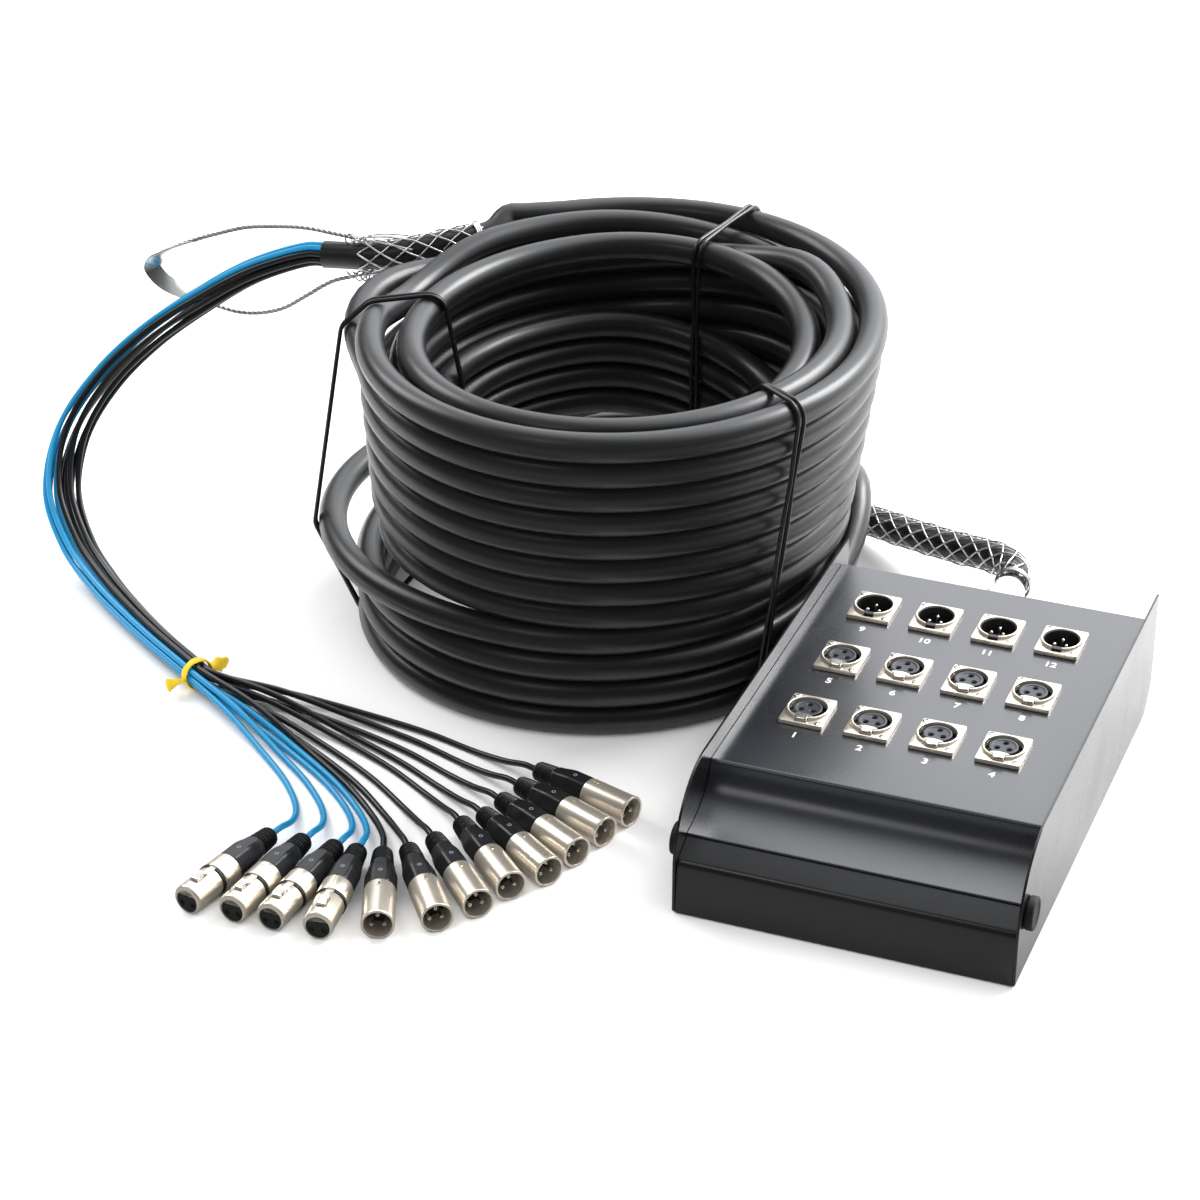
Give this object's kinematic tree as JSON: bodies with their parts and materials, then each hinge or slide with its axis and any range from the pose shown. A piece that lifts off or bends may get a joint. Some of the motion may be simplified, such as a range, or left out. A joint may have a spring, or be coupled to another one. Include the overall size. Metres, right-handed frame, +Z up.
{
  "type": "stage box snake",
  "caption": "Sloped steel stage box with rows of round audio sockets, and a thick coiled cable that ends in a fan of short tails with round metal plugs.",
  "frame": {"origin": "middle of the underside of the stage box, on the floor", "axes": "+Z up; +X to the right of someone who faces the box's sloped front; +Y from that front to the rear wall, where the cable leaves"},
  "size_m": [0.7361, 0.5941, 0.2248],
  "materials": {
    "black_steel": "black satin paint with a fine texture",
    "panel_steel": "blue-black satin paint",
    "black_rubber": "matt moulded rubber",
    "nickel": "satin nickel plate on die-cast shells",
    "chrome": "bright plate",
    "cable_jacket": "black cable jacket, satin",
    "tail_black": "black tail jacket, satin",
    "tail_blue": "bright blue tail jacket, satin",
    "wire_steel": "galvanised wire",
    "pale_nylon": "pale moulded nylon",
    "tie_yellow": "yellow plastic strip with a wire core"
  },
  "bodies": {
    "snake": {"base_tray": "black_steel", "top_cover": "panel_steel", "cable_gland": "pale_nylon", "bumper_right": "black_rubber", "bumper_left": "black_rubber", "panel_socket_1": "nickel", "panel_socket_2": "nickel", "panel_socket_3": "nickel", "panel_socket_4": "nickel", "panel_socket_5": "nickel", "panel_socket_6": "nickel", "panel_socket_7": "nickel", "panel_socket_8": "nickel", "panel_socket_9": "nickel", "panel_socket_10": "nickel", "panel_socket_11": "nickel", "panel_socket_12": "nickel", "plug_female_1": "nickel", "plug_female_2": "nickel", "plug_female_3": "nickel", "plug_female_4": "nickel", "plug_male_1": "nickel", "plug_male_2": "nickel", "plug_male_3": "nickel", "plug_male_4": "nickel", "plug_male_5": "nickel", "plug_male_6": "nickel", "plug_male_7": "nickel", "plug_male_8": "nickel", "cable_coil": "cable_jacket", "box_lead": "cable_jacket", "far_lead": "cable_jacket", "box_wire_grip": "wire_steel", "far_wire_grip": "wire_steel", "pulling_eye": "wire_steel", "tail_female_1": "tail_blue", "tail_female_2": "tail_blue", "tail_female_3": "tail_blue", "tail_female_4": "tail_blue", "tail_male_1": "tail_black", "tail_male_2": "tail_black", "tail_male_3": "tail_black", "tail_male_4": "tail_black", "tail_male_5": "tail_black", "tail_male_6": "tail_black", "tail_male_7": "tail_black", "tail_male_8": "tail_black", "twist_tie": "tie_yellow"},
    "panel_latch_1": {"panel_latch_1": "chrome"},
    "panel_latch_2": {"panel_latch_2": "chrome"},
    "panel_latch_3": {"panel_latch_3": "chrome"},
    "panel_latch_4": {"panel_latch_4": "chrome"},
    "panel_latch_5": {"panel_latch_5": "chrome"},
    "panel_latch_6": {"panel_latch_6": "chrome"},
    "panel_latch_7": {"panel_latch_7": "chrome"},
    "panel_latch_8": {"panel_latch_8": "chrome"},
    "plug_latch_1": {"plug_latch_1": "chrome"},
    "plug_latch_2": {"plug_latch_2": "chrome"},
    "plug_latch_3": {"plug_latch_3": "chrome"},
    "plug_latch_4": {"plug_latch_4": "chrome"}
  },
  "joints": [
    {"name": "panel_latch_1_press", "type": "slide", "parent": "snake", "child": "panel_latch_1", "axis": [0, 0, -1], "range_m": [0, 0.0015], "stiffness_N_per_m": 1200, "springref_m": -0.0005},
    {"name": "panel_latch_2_press", "type": "slide", "parent": "snake", "child": "panel_latch_2", "axis": [0, 0, -1], "range_m": [0, 0.0015], "stiffness_N_per_m": 1200, "springref_m": -0.0005},
    {"name": "panel_latch_3_press", "type": "slide", "parent": "snake", "child": "panel_latch_3", "axis": [0, 0, -1], "range_m": [0, 0.0015], "stiffness_N_per_m": 1200, "springref_m": -0.0005},
    {"name": "panel_latch_4_press", "type": "slide", "parent": "snake", "child": "panel_latch_4", "axis": [0, 0, -1], "range_m": [0, 0.0015], "stiffness_N_per_m": 1200, "springref_m": -0.0005},
    {"name": "panel_latch_5_press", "type": "slide", "parent": "snake", "child": "panel_latch_5", "axis": [0, 0, -1], "range_m": [0, 0.0015], "stiffness_N_per_m": 1200, "springref_m": -0.0005},
    {"name": "panel_latch_6_press", "type": "slide", "parent": "snake", "child": "panel_latch_6", "axis": [0, 0, -1], "range_m": [0, 0.0015], "stiffness_N_per_m": 1200, "springref_m": -0.0005},
    {"name": "panel_latch_7_press", "type": "slide", "parent": "snake", "child": "panel_latch_7", "axis": [0, 0, -1], "range_m": [0, 0.0015], "stiffness_N_per_m": 1200, "springref_m": -0.0005},
    {"name": "panel_latch_8_press", "type": "slide", "parent": "snake", "child": "panel_latch_8", "axis": [0, 0, -1], "range_m": [0, 0.0015], "stiffness_N_per_m": 1200, "springref_m": -0.0005},
    {"name": "plug_latch_1_press", "type": "slide", "parent": "snake", "child": "plug_latch_1", "axis": [0, 0, -1], "range_m": [0, 0.0012], "stiffness_N_per_m": 1500, "springref_m": -0.0005},
    {"name": "plug_latch_2_press", "type": "slide", "parent": "snake", "child": "plug_latch_2", "axis": [0, 0, -1], "range_m": [0, 0.0012], "stiffness_N_per_m": 1500, "springref_m": -0.0005},
    {"name": "plug_latch_3_press", "type": "slide", "parent": "snake", "child": "plug_latch_3", "axis": [0, 0, -1], "range_m": [0, 0.0012], "stiffness_N_per_m": 1500, "springref_m": -0.0005},
    {"name": "plug_latch_4_press", "type": "slide", "parent": "snake", "child": "plug_latch_4", "axis": [0, 0, -1], "range_m": [0, 0.0012], "stiffness_N_per_m": 1500, "springref_m": -0.0005}
  ]
}
